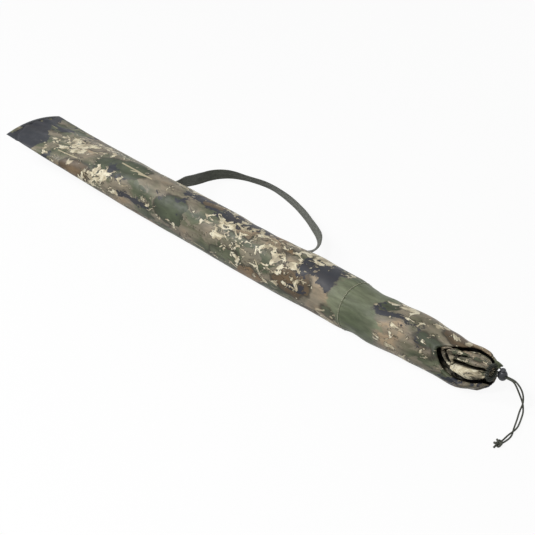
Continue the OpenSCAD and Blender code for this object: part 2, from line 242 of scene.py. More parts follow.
def sheet_piece(name, rows, closed=False, uv=None, datum=0):
    """A mesh over a grid of points. A closed grid repeats its first column as its last."""
    if closed:
        rows = [row + [row[0].copy()] for row in rows]
    across = len(rows[0])
    points = [p for row in rows for p in row]
    firsts = [j * across + i for j in range(len(rows) - 1) for i in range(across - 1)]
    faces = [(a, a + 1, a + across + 1, a + across) for a in firsts]
    return mesh_piece(name, points, faces, uv or grid_lengths(rows, datum))


def thicken(piece, depth, offset=-1):
    wall = piece.modifiers.new("wall", "SOLIDIFY")
    wall.thickness = depth * MM
    wall.offset = offset


def with_relief(rows, reliefs):
    """The closed grid moved along its normals by the reliefs."""
    moved = []
    for before, row, after, heights in zip(rows[:1] + rows, rows, rows[1:] + rows[-1:], reliefs):
        sides = zip(row[1:] + row[:1], row[-1:] + row, after, before)
        normals = [(right - left).cross(ahead - back).normalized() for right, left, ahead, back in sides]
        moved.append([p + normal * height for p, normal, height in zip(row, normals, heights)])
    return moved


def off_floor(rows):
    """The grid with no point below the floor."""
    for row in rows:
        for p in row:
            p.z = max(p.z, FLOOR_GAP)
    return rows


def tangents(path, closed=False):
    before, after = (path[-1:], path[:1]) if closed else (path[:1], path[-1:])
    line = before + path + after
    return [(q - p).normalized() for p, q in zip(line, line[2:])]


def carried(directions, first):
    """Side directions carried along a path without twisting."""
    sides = []
    side = first
    for t in directions:
        side = (side - t * side.dot(t)).normalized()
        sides.append(side)
    return sides


def curve_points(points, steps):
    """Smooth curve through given rows of numbers of any width."""
    result = []
    last = len(points) - 1
    for i in range(last):
        a, b, c, d = points[max(i - 1, 0)], points[i], points[i + 1], points[min(i + 2, last)]
        for step in range(steps):
            t = step / steps
            result.append([
                q + (r - p) * t / 2 + (2 * p - 5 * q + 4 * r - s) * t * t / 2
                + (3 * q - p - 3 * r + s) * t ** 3 / 2
                for p, q, r, s in zip(a, b, c, d)
            ])
    result.append(list(points[last]))
    return result


# Shader helpers
def colour(code):
    """Linear colour of a code such as 6e7059."""
    parts = [int(code[i:i + 2], 16) / 255 for i in (0, 2, 4)]
    return tuple(c / 12.92 if c <= 0.04045 else ((c + 0.055) / 1.055) ** 2.4 for c in parts) + (1,)


class Nodes:
    """Short ways to add nodes to a tree."""

    def __init__(self, tree):
        self.tree = tree

    def node(self, kind, inputs=None, **settings):
        made = self.tree.nodes.new("ShaderNode" + kind)
        for key, value in settings.items():
            setattr(made, key, value)
        for key, value in (inputs or {}).items():
            self.feed(made.inputs[key], value)
        return made

    def feed(self, socket, value):
        """Links a socket or sets its value. Text is the code of a colour."""
        if isinstance(value, bpy.types.NodeSocket):
            self.tree.links.new(value, socket)
        else:
            socket.default_value = colour(value) if isinstance(value, str) else value

    def cloth_uv(self):
        return self.node("UVMap", uv_map="cloth").outputs["UV"]

    def place(self):
        return self.node("TexCoord").outputs["Object"]

    def mapped(self, vector, shift=(0, 0, 0), turn=0, scale=(1, 1, 1)):
        return self.node("Mapping", {
            "Vector": vector, "Location": shift, "Rotation": (0, 0, math.radians(turn)), "Scale": scale,
        }).outputs["Vector"]

    def noise(self, vector, scale, detail=4, rough=0.55, distort=0.0):
        return self.node("TexNoise", {
            "Vector": vector, "Scale": scale, "Detail": detail, "Roughness": rough, "Distortion": distort,
        }).outputs["Fac"]

    def step(self, value, low, high, to_low=0.0, to_high=1.0):
        return self.node("MapRange", {
            "Value": value, "From Min": low, "From Max": high, "To Min": to_low, "To Max": to_high,
        }, interpolation_type="SMOOTHSTEP").outputs["Result"]

    def math(self, operation, *values):
        made = self.node("Math", operation=operation)
        for socket, value in zip(made.inputs, values):
            self.feed(socket, value)
        return made.outputs["Value"]

    def blend(self, share, first, second, way="MIX"):
        made = self.node("Mix", data_type="RGBA", blend_type=way)
        self.feed(made.inputs["Factor"], share)
        colours = [s for s in made.inputs if s.type == "RGBA"]
        self.feed(colours[0], first)
        self.feed(colours[1], second)
        return [s for s in made.outputs if s.type == "RGBA"][0]

    def ramp(self, value, stops, way="LINEAR"):
        made = self.node("ValToRGB", {"Fac": value})
        made.color_ramp.interpolation = way
        band = made.color_ramp.elements
        while len(band) < len(stops):
            band.new(0.5)
        for element, (place, code) in zip(band, stops):
            element.position = place
            element.color = colour(code)
        return made.outputs["Color"]

    def warped(self, vector, scale, detail, amount):
        """Places pushed about by a noise."""
        drift = self.node("TexNoise", {"Vector": vector, "Scale": scale, "Detail": detail})
        push = self.node("VectorMath", {0: drift.outputs["Color"], 1: (0.5, 0.5, 0.5)},
                         operation="SUBTRACT")
        far = self.node("VectorMath", {0: push.outputs["Vector"], "Scale": amount},
                        operation="SCALE")
        return self.node("VectorMath", {0: vector, 1: far.outputs["Vector"]},
                         operation="ADD").outputs["Vector"]

    def cells(self, vector, scale):
        """Distance to the nearest scattered spot, and two numbers of its own."""
        made = self.node("TexVoronoi", {"Vector": vector, "Scale": scale})
        dye = self.node("SeparateColor", {"Color": made.outputs["Color"]})
        return made.outputs["Distance"], dye.outputs["Red"], dye.outputs["Green"]

    def product(self, first, *others):
        for value in others:
            first = self.math("MULTIPLY", first, value)
        return first

    def bump(self, height, strength, depth, after=None):
        inputs = {"Height": height, "Strength": strength, "Distance": depth * MM}
        if after:
            inputs["Normal"] = after
        return self.node("Bump", inputs).outputs["Normal"]

    def wave(self, vector, scale, direction):
        return self.node("TexWave", {"Vector": vector, "Scale": scale},
                         wave_type="BANDS", bands_direction=direction).outputs["Fac"]

    def backdrop_seen(self):
        """1 for rays that show the backdrop itself: from the camera, a gloss or glass."""
        path = self.node("LightPath").outputs
        share = self.math("MAXIMUM", path["Is Camera Ray"], path["Is Glossy Ray"])
        return self.math("MAXIMUM", share, path["Is Transmission Ray"])


class Shader(Nodes):
    """A material and its surface."""

    def __init__(self, name, roughness=0.5):
        self.material = bpy.data.materials.new(name)
        self.material.use_nodes = True
        super().__init__(self.material.node_tree)
        self.surface = self.tree.nodes["Principled BSDF"]
        self.surface.inputs["Roughness"].default_value = roughness

    def finish(self, base, normal=None, roughness=None):
        self.feed(self.surface.inputs["Base Color"], base)
        if normal:
            self.feed(self.surface.inputs["Normal"], normal)
        if roughness:
            self.feed(self.surface.inputs["Roughness"], roughness)
        return self.material


# Materials
MOSS = "424936"
OLIVE = "5a5f49"
DRAB = "6c6956"
STONE = "857c6b"
BROWN = "64543f"
TAN = "8a7355"
FAWN = "a28f75"
NAVY = "23262f"
SHADE = "2b271d"
BEIGE = "a79c84"
SAND = "c6ba9c"
CREAM = "e2dac0"


def camo_ground(s, lean, broad, lively, plain_tones):
    """Mottled greens and browns, and the plain tones where the print isn't lively."""
    ground = s.ramp(broad, [(0.36, MOSS), (0.44, OLIVE), (0.5, DRAB), (0.57, STONE), (0.66, FAWN)])
    mottle = s.step(s.noise(s.mapped(lean, shift=(8.8, 6.1, 0)), 34, 7, 0.62, 0.8), 0.525, 0.54)
    ground = s.blend(s.product(mottle, 0.75), ground, STONE)
    plain = s.ramp(broad, [(0.36, plain_tones[0]), (0.64, plain_tones[1])])
    return s.blend(lively, plain, ground)


def camo_leaves(s, ground, flat, lean, lively):
    """Ragged leaves in several tones, each with a shade round it, and streaks over all."""
    far, choice, tone = s.cells(s.warped(lean, 32, 6, 0.036), 17)
    chosen = s.product(s.step(choice, 0.22, 0.23), lively)
    ground = s.blend(s.product(chosen, s.step(far, 0.46, 0.54, 0.85, 0.0)), ground, SHADE)
    tones = [(0, BROWN), (0.27, TAN), (0.52, STONE), (0.66, FAWN), (0.78, MOSS), (0.9, OLIVE)]
    leaf = s.ramp(tone, tones, "CONSTANT")
    leaf = s.blend(1.0, leaf, s.step(far, 0.05, 0.46, 1.2, 0.72), "MULTIPLY")
    ground = s.blend(s.product(chosen, s.step(far, 0.44, 0.46, 1.0, 0.0)), ground, leaf)
    streak = s.noise(s.mapped(flat, turn=28, scale=(24, 95, 1)), 1, 5, 0.65, 0.3)
    return s.blend(1.0, ground, s.step(streak, 0.3, 0.7, 0.7, 1.25), "MULTIPLY")


def camo_patches(s, ground, lean, lively, dark_share):
    """Dark patches, which close up at the dark end."""
    patches = s.noise(s.mapped(lean, shift=(5.6, 2.8, 0)), 13, 9, 0.66, 0.5)
    if dark_share:
        patches = s.math("ADD", patches, s.product(dark_share, 0.2))
    return s.blend(s.product(s.step(patches, 0.575, 0.585), 0.96, lively), ground, NAVY)


def camo_crumbs(s, ground, flat, lean, lively, dark_share):
    """Clusters of pale crumbs with a dark outline."""
    clusters = s.noise(s.mapped(lean, shift=(1.9, 8.2, 0)), 11, 4, 0.55, 0.5)
    crumbs = s.noise(s.mapped(flat, turn=30, scale=(0.75, 1.1, 1)), 66, 6, 0.62, 0.9)
    crumbs = s.math("ADD", crumbs, s.math("SUBTRACT", clusters, 0.5))
    if dark_share:
        crumbs = s.math("SUBTRACT", crumbs, s.product(dark_share, 0.3))
    outline = s.product(s.step(crumbs, 0.55, 0.59, 0.0, 0.85), lively)
    ground = s.blend(outline, ground, SHADE)
    pale = s.ramp(s.noise(flat, 60, 3, 0.6), [(0.4, BEIGE), (0.48, SAND), (0.56, CREAM)])
    return s.blend(s.product(s.step(crumbs, 0.6, 0.615), lively), ground, pale)


def camo_stalks(s, ground, flat, lively, dark_share):
    """Thin pale stalks, here and there."""
    way = s.warped(s.mapped(flat, turn=-32, scale=(3, 26, 1)), 1.1, 2, 0.5)
    edges = s.node("TexVoronoi", {"Vector": way, "Scale": 1.0},
                   feature="DISTANCE_TO_EDGE").outputs["Distance"]
    here = s.step(s.noise(flat, 9, 2), 0.58, 0.59)
    stalk = s.product(s.step(edges, 0.018, 0.028, 1.0, 0.0), here, lively)
    if dark_share:
        stalk = s.product(stalk, s.math("SUBTRACT", 1.0, dark_share))
    return s.blend(s.product(stalk, 0.85), ground, SAND)


def camo_cloth(name, shift, plain, dark_end=0.0, plain_tones=("525a44", "747962")):
    """Coated polyester with a generic camouflage print.

    shift moves the print. The cloth is plain in plain_tones between the two places of plain, in
    metres along it, and its first dark_end metres are dark, partly print and partly painted shade.
    """
    s = Shader(name)
    s.surface.inputs["Specular IOR Level"].default_value = 0.3
    uv = s.cloth_uv()
    along = s.node("SeparateXYZ", {"Vector": uv}).outputs["X"]
    flat = s.mapped(uv, shift=shift + (0,))
    lean = s.mapped(flat, turn=20, scale=(0.6, 1, 1))
    broad = s.noise(lean, 13, 4, 0.5, 0.6)
    border = s.math("ADD", along, s.step(s.noise(lean, 22, 4), 0.3, 0.7, -0.025, 0.025))
    fade = 0.012
    lively = s.math("ADD", s.step(border, plain[0], plain[0] + fade, 1.0, 0.0),
                    s.step(border, plain[1], plain[1] + fade))
    dark_share = None
    # The dark end has more dark patches and fewer pale marks: partly print, partly painted shade of the
    # closed end.
    if dark_end:
        edge = s.math("ADD", along, s.step(broad, 0.35, 0.65, -0.03, 0.03))
        dark_share = s.step(edge, 0.6 * dark_end, dark_end, 1.0, 0.0)
    ground = camo_ground(s, lean, broad, lively, plain_tones)
    ground = camo_leaves(s, ground, flat, lean, lively)
    ground = camo_patches(s, ground, lean, lively, dark_share)
    ground = camo_crumbs(s, ground, flat, lean, lively, dark_share)
    ground = camo_stalks(s, ground, flat, lively, dark_share)
    # Painted shade: the print is darkened where the cloth's own folds come close, in creases and in the
    # hollow of the mouth.
    painted_crease_shade = s.node("AmbientOcclusion", {"Distance": 30 * MM}, only_local=True)
    ground = s.blend(1.0, ground, s.step(painted_crease_shade.outputs["AO"], 0.25, 0.72, 0.04, 1.0), "MULTIPLY")

    crinkle = s.noise(flat, 70, 5, 0.55, 0.4)
    threads = s.math("ADD", s.wave(flat, 310, "X"), s.wave(flat, 310, "Y"))
    normal = s.bump(threads, 0.15, 0.06, s.bump(crinkle, 0.5, 0.5))
    return s.finish(ground, normal, s.step(crinkle, 0.3, 0.7, 0.42, 0.58))


def webbing_cloth(name):
    """Ribbed webbing. The cloth's own places run along it and across it, in metres."""
    s = Shader(name, roughness=0.8)
    flat = s.cloth_uv()
    ribs = s.wave(flat, 150, "Y")
    picks = s.wave(s.mapped(flat, turn=35), 330, "X")
    height = s.math("ADD", ribs, s.math("MULTIPLY", picks, 0.5))
    # Painted shade: the webbing is lighter on its ribs and picks and darker in the valleys between them.
    tone = s.blend(s.step(height, 0.1, 1.3), "35372f", "5d6055")
    worn = s.noise(flat, 45, 4, 0.6)
    tone = s.blend(1.0, tone, s.step(worn, 0.3, 0.7, 0.85, 1.15), "MULTIPLY")
    s.surface.inputs["Sheen Weight"].default_value = 0.15
    return s.finish(tone, s.bump(height, 0.7, 0.35))


def cord_braid(name):
    """Braided cord. The cloth's own places run along it and round it, in metres."""
    s = Shader(name, roughness=0.72)
    flat = s.cloth_uv()
    one = s.wave(s.mapped(flat, turn=38), 190, "X")
    other = s.wave(s.mapped(flat, turn=-38), 190, "X")
    height = s.math("MAXIMUM", one, other)
    # Painted shade: the cord is darker in the valleys between its plaits.
    tone = s.blend(s.step(height, 0.35, 1.0), "23241f", "4d5044")
    fleck = s.step(s.noise(flat, 260, 2), 0.62, 0.68)
    tone = s.blend(s.math("MULTIPLY", fleck, 0.4), tone, "807f6c")
    return s.finish(tone, s.bump(height, 0.8, 0.3))


def thread_yarn(name, code):
    s = Shader(name, roughness=0.6)
    twist = s.noise(s.place(), 900, 2)
    tone = s.blend(1.0, code, s.step(twist, 0.3, 0.7, 0.8, 1.15), "MULTIPLY")
    return s.finish(tone, s.bump(twist, 0.3, 0.1))


def moulded_plastic(name, code, roughness):
    s = Shader(name, roughness)
    grain = s.noise(s.place(), 1400, 3)
    tone = s.blend(1.0, code, s.step(s.noise(s.place(), 160, 3), 0.3, 0.7, 0.9, 1.1), "MULTIPLY")
    gloss = s.step(grain, 0.3, 0.7, roughness - 0.06, roughness + 0.08)
    return s.finish(tone, s.bump(grain, 0.15, 0.05), gloss)


def spring_steel(name):
    s = Shader(name, 0.3)
    s.surface.inputs["Metallic"].default_value = 1.0
    drawn = s.noise(s.place(), 700, 3)
    tone = s.blend(s.step(drawn, 0.3, 0.7), "9a9da1", "c4c7cb")
    return s.finish(tone, s.bump(drawn, 0.1, 0.03))


def tape_cloth(name):
    s = Shader(name, roughness=0.85)
    flat = s.cloth_uv()
    ribs = s.wave(flat, 260, "X")
    # Painted shade: the tape is darker in the valleys between its ribs.
    tone = s.blend(s.step(ribs, 0.2, 0.9), "22231f", "3d3f37")
    return s.finish(tone, s.bump(ribs, 0.5, 0.2))


SLEEVE_LEN = (COLLAR_X - END_X) * MM
ALL_CLOTH = (-1, 2)
# The sleeve's first 80 mm by the closed end are darker: print, and partly painted shade of the end.
sleeve_cloth = camo_cloth("camo_sleeve", (0.0, 0.0), (SLEEVE_LEN - 0.02, 2), dark_end=0.08)
collar_cloth = camo_cloth("camo_collar", (2.37, 0.81), (-1, 0.07))
# The hem is all in dark plain tones: its own cloth, and partly painted shade where it is bunched in the
# gather.
hem_cloth = camo_cloth("camo_hem", (4.1, 2.6), ALL_CLOTH, plain_tones=("23261f", "3f4337"))
strap_cloth = webbing_cloth("webbing")
braid = cord_braid("braided_cord")
seam_thread = thread_yarn("thread_pale", "b9b7a0")
dark_thread = thread_yarn("thread_dark", "3a3b31")
seam_tape_cloth = tape_cloth("seam_tape")
lock_plastic = moulded_plastic("lock_plastic", "2a2b30", 0.38)
button_plastic = moulded_plastic("button_plastic", "303136", 0.42)
steel = spring_steel("spring_wire")


def paint(piece, material):
    piece.data.materials.clear()
    piece.data.materials.append(material)


def dress(piece, material, slot, body, *nodes):
    """Gives a piece its material and body, and hides the nodes that it stands for. The slot is not used.
    """
    paint(piece, material)
    if body:
        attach(piece, body)
    if nodes:
        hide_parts(*nodes)


# Camera at the photograph's place
CAMERA_AT = Vector((1918.8, -1629.4, 1450.4))
CAMERA_AZIMUTH = 48.051
CAMERA_ELEVATION = 30.314
CAMERA_LENS = 107.66
SENSOR_W = 36
SIGHT_M = 50

camera_data = bpy.data.cameras.new("camera")
camera_data.lens = CAMERA_LENS
camera_data.sensor_width = SENSOR_W
camera_data.clip_end = SIGHT_M
camera = new_object("camera", camera_data)
camera.location = CAMERA_AT * MM
camera.rotation_euler = (math.radians(90 - CAMERA_ELEVATION), 0, math.radians(CAMERA_AZIMUTH))
bpy.context.scene.camera = camera

# Route of the two strands: along the bag from the mouth, across it from the exit, share of the
# exit's height, half the gap between the strands, turn about each other
TAIL_ROUTE = [
    [-2, 0, 1, 1.75, 0], [10, 0, 1, 1.75, 0], [22, 0, 1, 1.75, 0], [34, 0, 1, 1.8, 0],
    [43, -0.5, 0.88, 2.4, 15], [51, -1, 0.64, 2.7, 65], [56, -2, 0.34, 2.8, 125],
    [59, -6, 0.1, 3, 180], [64, -15, 0, 3, 218], [72, -29, 0, 2.8, 235], [81, -46, 0, 3, 268],
    [87.5, -62, 0, 3.4, 325], [90, -77, 0, 2.6, 385], [91, -90, 0, 1.75, 415],
]
CORD_SIDES = 12
KNOT_SIZE = 2.1
KNOT_D = 3.6
# Room of the cord lock round a strand
CORD_ROOM = 0.1


def braid_relief(along, turn, height=0.05, lay=1.1, plaits=3):
    """Low plaits that run round a cord both ways."""
    return height * max(math.cos(along * lay + plaits * turn), math.cos(along * lay - plaits * turn))


def tube_rows(path, radius, first, closed=False):
    ahead = tangents(path, closed)
    rows = []
    run = 0
    for p, before, t, side in zip(path, path[:1] + path, ahead, carried(ahead, first)):
        run += (p - before).length
        other = t.cross(side)
        ring = []
        for k in range(CORD_SIDES):
            turn = 2 * math.pi * k / CORD_SIDES
            r = radius + braid_relief(run, turn)
            ring.append(p + r * (math.cos(turn) * side + math.sin(turn) * other))
        rows.append(ring)
    return rows


def capped(rows, path):
    """Closes a tube's two ends with a rounded, cut face."""
    ends = []
    for row, tip in ((rows[0], path[0]), (rows[-1], path[-1])):
        ends.append([[tip] * len(row), [p + (tip - p) * 0.5 for p in row]])
    return ends[0] + rows + ends[1][::-1]


def cord_uv(rows):
    """Metres along and round a cord, the same all round."""
    uv = []
    run = 0.0
    for row, before in zip(rows, rows[:1] + rows):
        run += sum((p - q).length for p, q in zip(row, before)) / len(row) * MM
        uv.extend((run, math.pi * CORD_D * MM * share) for share in shares(len(row)))
    return uv


def strand_path(way, steps=8):
    line = curve_points(TAIL_ROUTE, steps)
    middle = [Vector((MOUTH_X + along, EXIT_Y + across, mix(CORD_D / 2, EXIT_Z, rise)))
              for along, across, rise, gap, turn in line]
    ahead = tangents(middle)
    path = []
    for row, at, t, u in zip(line, middle, ahead, carried(ahead, Y_AXIS)):
        gap, turn = row[3:]
        point = at + way * gap * (cos_deg(turn) * u + sin_deg(turn) * t.cross(u))
        point.z = max(point.z, CORD_D / 2)
        path.append(point)
    return path


def knot_point(a):
    flat = Vector((sin_deg(a) + 2 * sin_deg(2 * a), cos_deg(a) - 2 * cos_deg(2 * a), -sin_deg(3 * a)))
    return KNOT_SIZE * flat


def tube_piece(name, path, first, closed=False, across=CORD_D):
    rows = tube_rows(path, across / 2 - CORD_ROOM, first, closed)
    if closed:
        rows.append([p.copy() for p in rows[0]])
    else:
        rows = capped(rows, path)
    return sheet_piece(name, rows, closed=True, uv=cord_uv(rows))


def joined(name, pieces):
    """One object out of several."""
    base = pieces[0]
    with bpy.context.temp_override(
            active_object=base, selected_editable_objects=pieces, selected_objects=pieces):
        bpy.ops.object.join()
    base.name = name
    return base


def make_cut_end(middle, turn, start=4.6, length=7, steps=10, drop=0.16):
    """A cut end of the cord that sticks out of the knot and drops a little."""
    way = Vector((cos_deg(turn), sin_deg(turn), 0))
    path = [middle + way * (start + length * share) - Z_AXIS * (drop * length * share ** 2)
            for share in shares(steps)]
    return tube_piece("cut_end", path, Z_AXIS, across=KNOT_D)


def make_knot(at=(91.4, -98.4), turn=60, rings=120, end_turns=(140, 275)):
    middle = Vector((MOUTH_X + at[0], EXIT_Y + at[1], KNOT_SIZE + KNOT_D / 2))
    turned = Matrix.Rotation(math.radians(turn), 3, "Z")
    loop = [middle + turned @ knot_point(a) for a in turns_round(rings)]
    tied = tube_piece("drawcord_knot_tied", loop, Z_AXIS, closed=True, across=KNOT_D)
    return joined("drawcord_knot_tied", [tied] + [make_cut_end(middle, a) for a in end_turns])


knot = make_knot()
dress(knot, braid, "cord", "bag", "drawcord_knot")
for tail_name, tail_way in (("drawcord_tail_back", 1), ("drawcord_tail_front", -1)):
    tail_path = strand_path(tail_way)
    tail = tube_piece(tail_name + "_braid", tail_path, Y_AXIS)
    dress(tail, braid, "cord", "bag", tail_name)


def gather_point(x, r, a):
    return ring_point(x, GATHER_Y, GATHER_Z, r, a)


def make_loop(gap=34, steps=90):
    """The drawcord inside the casing."""
    turns = [EXIT_TURN + gap / 2 + (360 - gap) * share for share in shares(steps)]
    path = [gather_point(CASING_X, CASING_R, a) for a in turns]
    return tube_piece("drawcord_loop_braid", path, X_AXIS)


dress(make_loop(), braid, "cord", "bag", "drawcord_loop")

# Sleeve
SLEEVE_SIDES = 128
ROW_STEP = 4
PRINT_SEAM = 6
PRINT_DATUM = 139
# Slack of the cloth: height, length along the bag, share round it, shift of the pattern
SLEEVE_SLACK = [(0.9, 120, 1.3, 0, 0), (0.5, 42, 2.6, 7, 0)]
# Swells and dips: place along the bag, half the length, turn about it, half the width, height
SLEEVE_SWELLS = [
    (200, 50, 55, 60, 2.2), (95, 45, 55, 60, -2), (45, 40, 55, 60, -2), (-215, 75, 55, 60, -2),
]


def flat_share(x):
    return clamp01((TAPER_X - x) / (END_TAPER - END_LIP))


# A place below is where a form starts and ends, along the bag or in turns about it, and its fade
def bow(x, side=4.2, place=(240, 365, 70)):
    """The slight sideways bend of the bag about its collar seam."""
    return side * stretch(x, *place)


def sleeve_point(x, a):
    f = flat_share(x)
    lens = f ** END_FOLD
    s = sin_deg(a)
    half_w = mix(BAG_R, END_W / 2, sin_deg(90 * f))
    half_h = mix(BAG_R, END_EDGE_T, f ** END_FULLNESS)
    mid_z = mix(BAG_MID_Z, END_Z, f ** END_RISE)
    z = mid_z + half_h * mix(s, s * abs(s), lens) + lens * END_ARCH * s * s
    return Vector((x, bow(x) + half_w * cos_deg(a), max(z, 0)))


def waist(x, a, place=(340, 355, 36), below=2.6, above=4, turn=200, fade=60):
    """The bag is drawn in about its collar seam, most on its upper side."""
    return -stretch(x, *place) * mix(below, above, ease((turn - a) / fade))


def seam_pucker(x, a, height=0.35, count=31, run=26):
    """Short puckers on both sides of the collar seam."""
    sway = 2 * wobble(4 * cos_deg(a), 4 * sin_deg(a), 3)
    return height * hill(x, COLLAR_X, run) * math.sin(math.radians(count * a) + sway)


def away_from_seam(x, run=32):
    """0 at the collar seam, where sleeve and collar share one line, and 1 away from it."""
    return ease(abs(x - COLLAR_X) / run)


def slack(rows, x, a):
    return sum(height * wobble(x / run, share * cos_deg(a) + shift_y, share * sin_deg(a) + shift_z)
               for height, run, share, shift_y, shift_z in rows)


def swells(rows, x, a):
    return sum(height * hill(x, at, run) * hill(a, turn, width) for at, run, turn, width, height in rows)


def top_ridge(x, a, flat=9, behind=42, before=45, turns=(65, 78), run=(66, 296), place=(70, 350, 55)):
    """A ridge along the top by the closed end, with a flat plane on each side of it."""
    along = x - END_X
    turn = mix(*turns, clamp01((along - run[0]) / (run[1] - run[0])))
    planes = (clamp01((turn - a) / behind), clamp01((a - turn) / before))
    return -flat * sum(share * (1 - share) for share in planes) * stretch(along, *place)


def end_crease(x, a, depth=2.4, width=4.5, runs=(5, 50), turns=(118, 203), place=(120, 200, 14)):
    """A crease that slants over the front of the closed end."""
    at = END_X + mix(*runs, (a - turns[0]) / (turns[1] - turns[0]))
    return -depth * bell(x, at, width) * stretch(a, *place)


def end_pucker(x, a, height=0.9, run=38, lay=0.26):
    """Puckers that run in from the sewn edge of the closed end."""
    c = cos_deg(a)
    s = sin_deg(a)
    near = math.exp(-max(x - LIP_X, 0) / run) * ease((x - END_X) / END_LIP)
    return height * near * abs(s) * math.cos(lay * END_W / 2 * c + 2.2 * wobble(x / 30, 2 * c, s))


def root_drag(x, a, height=0.8, spokes=7, radius=26, width=16, turn=-12, degree_run=0.785):
    """Creases that spread from the handle's sewn roots."""
    across = turn_between(a, turn) * degree_run
    drag = 0
    for root in (REAR_ROOT_X, FRONT_ROOT_X):
        spoke = math.cos(spokes * math.atan2(across, x - root))
        drag += height * spoke * bell(math.hypot(x - root, across), radius, width)
    return drag


def sleeve_relief(x, a, flat_calm=0.75):
    """Slack, creases and puckers of the sleeve."""
    round_share = (1 - flat_calm * flat_share(x)) * away_from_seam(x)
    broad = slack(SLEEVE_SLACK, x, a) * round_share + swells(SLEEVE_SWELLS, x, a) + waist(x, a)
    folds = top_ridge(x, a) + end_crease(x, a) + end_pucker(x, a) + root_drag(x, a)
    return broad + folds + seam_pucker(x, a)


def datum_column(sides):
    """The column from which the print is measured round the bag."""
    return round((PRINT_DATUM - PRINT_SEAM) / 360 * sides)


def make_sleeve():
    places = [mix(END_X, COLLAR_X, share) for share in shares(round((COLLAR_X - END_X) / ROW_STEP))]
    turns = turns_round(SLEEVE_SIDES, PRINT_SEAM)
    rows = [[sleeve_point(x, a) for a in turns] for x in places]
    reliefs = [[sleeve_relief(x, a % 360) for a in turns] for x in places]
    rows = off_floor(with_relief(rows, reliefs))
    return sheet_piece("sleeve_cloth", rows, closed=True, datum=datum_column(SLEEVE_SIDES))


sleeve = make_sleeve()
thicken(sleeve, CLOTH_T)
dress(sleeve, sleeve_cloth, "camo_fabric", "bag", "main_panel")

# Collar with its lips, fold and pleated cap
COLLAR_SIDES = 240
NECK_END_X = COLLAR_X + NECK_RUN
THROAT_X = MOUTH_X - LIP_CORNER
LIP_START_X = THROAT_X - LIP_LEAD
THROAT_FROM_X = (NECK_END_X + LIP_START_X) / 2
# Section of the rolled lips and the hollow behind them: ahead of the lip's edge, inset from the collar
LIPS = [
    (-6, 0), (-3, 0.3), (-1.2, 1), (0, 2.1), (0.2, 3.2), (-0.6, 4.2), (-3, 4.8), (-9, LIP_T), (-17, 5.4),
    (-25, 7), (-30, 11), (-31, 17), (-28, 22), (-20, 24.5), (-10, 25), (-2, 24.5), (3, 21.5), (4.5, 18),
    (3.5, 15.5), (2, CAP_EDGE),
]
LIP_LINE = curve_points(LIP_EDGE, 4)
# Where the mouth is drawn in: start along the bag, run, turn about it, half the width, depth
MOUTH_DIPS = [(556, 42, 230, 45, 6), (585, 20, 45, 45, 6.5)]
# Edge of the cap: notches (place in turns, depth), steps behind the lower lip (first turn, run, depth)
CAP_NOTCHES = [((106, 106, 8), 3.5), ((117, 127, 8), -5.4), ((186, 186, 34), 2)]
CAP_STEPS = [(125, 20, 6), (195, 20, 1)]
# Pleats of the cap: height, turn at a level of the way in, slant, that level, width, place on the way
WHOLE = (0, 1, 1)
CAP_PLEATS = [
    (-17, 156, 0, 0, 8, WHOLE), (5, 143, 70, 0.66, 12, WHOLE), (3, 108, 0, 0, 20, WHOLE),
    (-7, 136, 200, 0.58, 5, (0.56, 0.74, 0.1)), (-6, 141, 90, 0.46, 4, (0.48, 0.6, 0.1)),
    (8, 188, 0, 0, 22, (0.3, 0.85, 0.2)), (3.5, 192, 0, 0, 9, (0.88, 0.88, 0.09)),
    (-5, 177, 0, 0, 6, (0.92, 0.92, 0.08)),
]
EVEN_PLEATS = 9
COLLAR_SLACK = [(0.9, 85, 1.5, 3, 0), (0.5, 34, 3, 0, 5)]
COLLAR_GATHERS = [(1.6, 160, 5.5, 0, 11)]
COLLAR_SWELLS = [
    (475, 35, 55, 55, 2), (545, 30, 55, 55, -2.5), (368, 26, 228, 50, 2.2), (426, 44, 228, 50, -2.6),
]


def collar_radius(x):
    neck = mix(BAG_R, NECK_R, ease((x - COLLAR_X) / NECK_RUN))
    return mix(neck, THROAT_R, ease((x - THROAT_FROM_X) / (THROAT_X - THROAT_FROM_X)))


def shoulder_way(x):
    return clamp01((x - MOUTH_X + SHOULDER) / SHOULDER) ** 2


def lower_share(a, start=215, rise=45, end=370, fall=55):
    """1 on the underside of the mouth, where the lip runs on to the gather."""
    turn = a % 360
    return ease((turn - start) / rise) * ease((end - turn) / fall)


def under_depth(x, depth=5, start=24, run=20, dip=3, dip_x=594, dip_half=14):
    """How far the underside is drawn in before the mouth."""
    return (depth + dip * hill(x, dip_x, dip_half)) * ease((x - MOUTH_X + start) / run)


def collar_point(x, a, inset, lift=2.4, lift_place=(455, 510, 50), core_r=7):
    way = shoulder_way(x)
    r = collar_radius(x) * math.sqrt(1 - (1 - MOUTH_SHARE ** 2) * way) - inset
    r -= under_depth(x) * lower_share(a)
    for start, run, turn, half, depth in MOUTH_DIPS:
        r -= depth * ease((x - start) / run) * hill(turn_between(a, turn), 0, half)
    y = bow(x) + GATHER_Y * (x - COLLAR_X) / (MOUTH_X - COLLAR_X)
    z = collar_radius(x) - SETTLE + MOUTH_LIFT * way + lift * stretch(x, *lift_place)
    point = ring_point(x, y, z, max(r, core_r), a)
    point.z = max(point.z, 0)
    return point


def lip_at(a, lower_ahead=10):
    """Place along the bag of the lips' edge at one turn about it."""
    turn = a % 360
    back = LIP_BACK
    for (low, here), (high, there) in zip(LIP_LINE, LIP_LINE[1:]):
        if low <= turn < high:
            back = mix(here, there, (turn - low) / (high - low))
            break
    return MOUTH_X - back + lower_ahead * lower_share(a)


